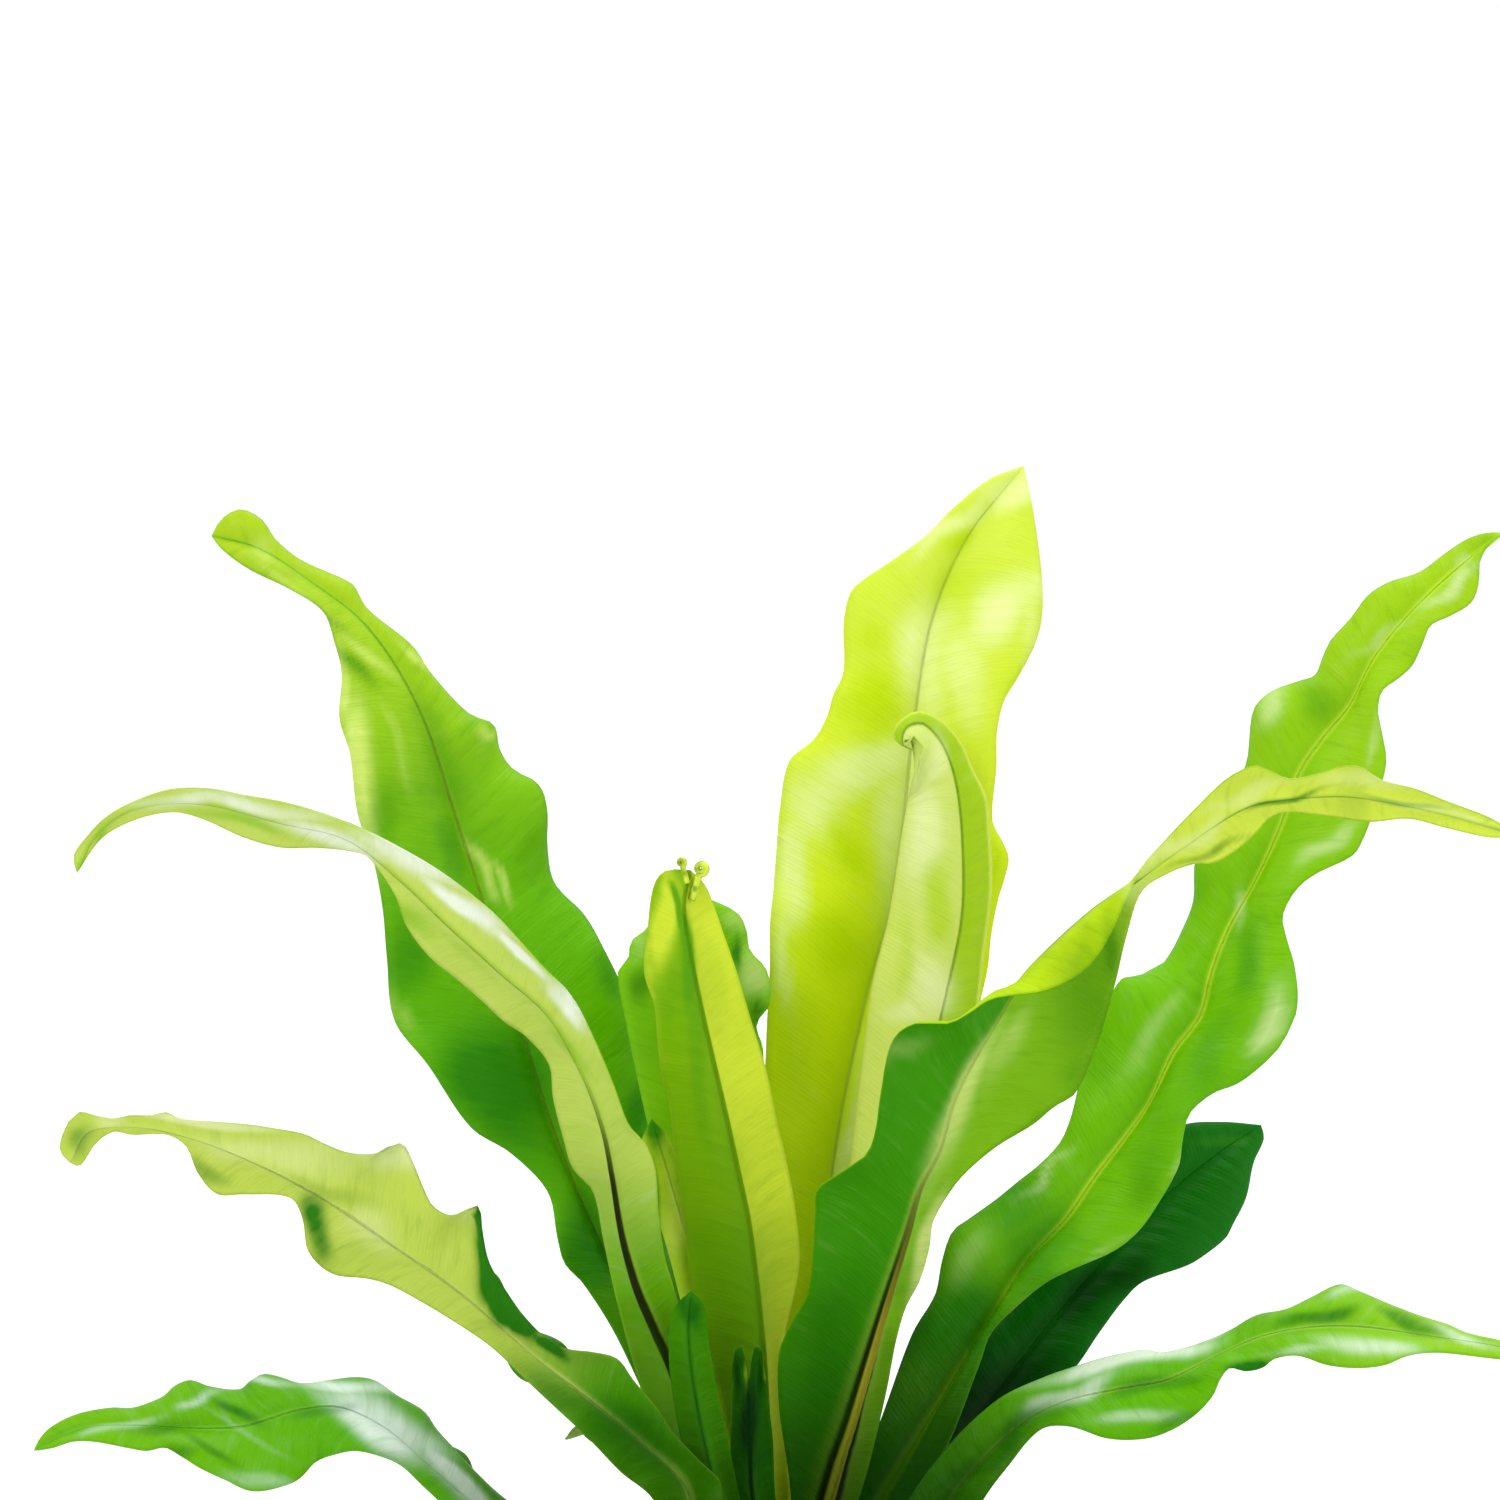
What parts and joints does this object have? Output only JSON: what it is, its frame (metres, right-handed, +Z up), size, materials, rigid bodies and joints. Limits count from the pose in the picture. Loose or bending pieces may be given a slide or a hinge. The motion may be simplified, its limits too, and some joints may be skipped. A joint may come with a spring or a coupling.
{
  "type": "potted bird's nest fern",
  "caption": "Bird's nest fern with wavy strap fronds rising in a funnel from a scaly crown, planted in a plain round clay pot.",
  "frame": {"origin": "centre of the pot's flat underside", "axes": "+Z up, the pot turned about it; -Y towards the side the picture shows, +X to its right"},
  "size_m": [0.457, 0.3984, 0.4896],
  "materials": {
    "pot_clay": "matte",
    "mix": "matte",
    "crown_scales": "matte",
    "frond_young": "satin",
    "frond_grown": "satin"
  },
  "bodies": {
    "root": {"pot": "pot_clay", "potting_mix": "mix", "crown": "crown_scales", "frond_tall": "frond_young", "frond_hooked": "frond_young", "frond_folded": "frond_young", "frond_narrow": "frond_young", "frond_arching_left": "frond_young", "frond_mid_left": "frond_young", "frond_arching_right": "frond_young", "frond_small_back": "frond_grown", "frond_bud_front": "frond_grown", "frond_bud_left": "frond_grown", "frond_upper_left": "frond_grown", "frond_low_left": "frond_grown", "frond_upper_right": "frond_grown", "frond_dark_right": "frond_grown", "frond_low_right": "frond_grown", "frond_back_right": "frond_grown", "frond_back_middle": "frond_grown", "frond_back_centre": "frond_grown", "frond_back_upper": "frond_grown", "frond_back_droop": "frond_grown", "frond_back_left": "frond_grown", "frond_side_left": "frond_grown", "frond_front_left": "frond_grown", "frond_front_centre": "frond_grown", "frond_front_middle": "frond_grown", "frond_front_right": "frond_grown"}
  },
  "joints": []
}
